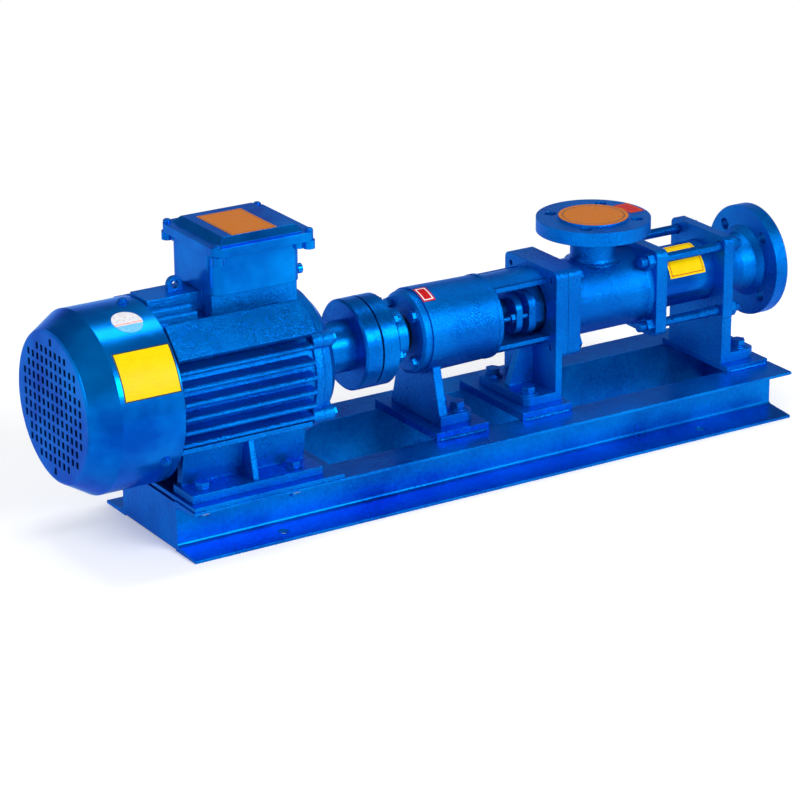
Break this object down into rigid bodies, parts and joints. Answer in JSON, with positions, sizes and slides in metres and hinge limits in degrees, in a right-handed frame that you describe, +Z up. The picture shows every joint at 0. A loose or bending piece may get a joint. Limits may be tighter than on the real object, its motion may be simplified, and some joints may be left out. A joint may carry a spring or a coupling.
{
  "type": "progressive cavity pump",
  "caption": "Motor-driven progressive cavity pump on a channel base, with a helical rotor, top suction flange, end outlet flange and flexible shaft coupling.",
  "frame": {"origin": "centre of the four foundation holes on the floor plane", "axes": "+X runs along the shaft from the motor to the outlet flange, +Z is up, +Y points away from the side seen in the picture"},
  "size_m": [1.161, 0.255, 0.419],
  "materials": {
    "painted_base": "glossy blue enamel brushed over rolled steel",
    "painted_casting": "glossy blue enamel over a grainy casting",
    "painted_smooth": "smooth glossy blue enamel",
    "painted_fittings": "glossy blue enamel over machined fittings",
    "bare_steel": "machined and oiled",
    "stainless_steel": "turned and polished",
    "black_rubber": "matt moulded rubber",
    "braided_packing": "greased braid",
    "black_plastic": "moulded",
    "copper_windings": "varnished copper wire",
    "core_steel": "stacked sheet steel"
  },
  "bodies": {
    "pump_and_base": {"base_channel_front": "painted_base", "base_channel_rear": "painted_base", "base_end_plate_left": "painted_base", "base_end_plate_right": "painted_base", "motor_pad": "painted_base", "bearing_foot_pad": "painted_base", "bracket_foot_pad": "painted_base", "outlet_foot_pad": "painted_base", "motor_frame": "painted_casting", "drive_endshield": "painted_casting", "rear_endshield": "painted_casting", "drive_endshield_bolts": "painted_fittings", "rear_endshield_bolts": "bare_steel", "fan_cover": "painted_smooth", "fan_cover_screws": "painted_fittings", "terminal_box": "painted_smooth", "terminal_box_lid": "painted_smooth", "terminal_lid_screws": "painted_fittings", "cable_gland": "black_plastic", "motor_stator_core": "core_steel", "motor_windings": "copper_windings", "motor_bearings": "bare_steel", "motor_foot_bolts": "painted_fittings", "motor_foot_nuts": "bare_steel", "bearing_bracket": "painted_casting", "bearing_cover": "painted_casting", "bearing_cover_bolts": "painted_fittings", "front_oil_seal": "black_rubber", "rear_oil_seal": "black_rubber", "drive_bearings": "bare_steel", "bracket_foot_bolts": "painted_fittings", "packing_rings": "braided_packing", "gland_studs": "painted_fittings", "suction_chamber": "painted_casting", "chamber_gasket": "black_rubber", "chamber_bolts": "painted_fittings", "stator_tube": "painted_smooth", "stator_lining": "black_rubber", "tie_rods": "painted_fittings", "tie_rod_nuts": "painted_fittings", "outlet_body": "painted_casting", "outlet_foot_bolts": "painted_fittings"},
    "drive_line": {"motor_shaft": "bare_steel", "motor_rotor_core": "core_steel", "cooling_fan": "black_plastic", "motor_coupling_half": "painted_fittings", "pump_coupling_half": "painted_fittings", "coupling_pins": "painted_fittings", "coupling_bushes": "black_rubber", "coupling_nuts": "painted_fittings", "motor_shaft_key": "bare_steel", "pump_shaft_key": "bare_steel", "drive_shaft": "stainless_steel", "drive_joint_pins": "stainless_steel"},
    "coupling_rod": {"coupling_rod": "stainless_steel"},
    "helical_rotor": {"rotor": "stainless_steel", "rotor_joint_pins": "stainless_steel"},
    "gland": {"gland_follower": "painted_fittings", "gland_nuts": "painted_fittings"}
  },
  "joints": [
    {"name": "shaft_spin", "type": "hinge", "parent": "pump_and_base", "child": "drive_line", "pos_m": [0, 0, 0.21], "axis": [1, 0, 0], "continuous": true},
    {"name": "rod_precession", "type": "hinge", "parent": "pump_and_base", "child": "coupling_rod", "pos_m": [0.17, 0, 0.21], "axis": [1, 0, 0], "continuous": true},
    {"name": "rotor_turn", "type": "hinge", "parent": "coupling_rod", "child": "helical_rotor", "pos_m": [0.276, 0.006, 0.21], "axis": [1, 0, 0], "continuous": true},
    {"name": "gland_slide", "type": "slide", "parent": "pump_and_base", "child": "gland", "axis": [-1, 0, 0], "range_m": [0, 0.012]}
  ],
  "couplings": [
    {"joint": "rod_precession", "follows": "shaft_spin", "ratio": -1},
    {"joint": "rotor_turn", "follows": "shaft_spin", "ratio": 2}
  ]
}
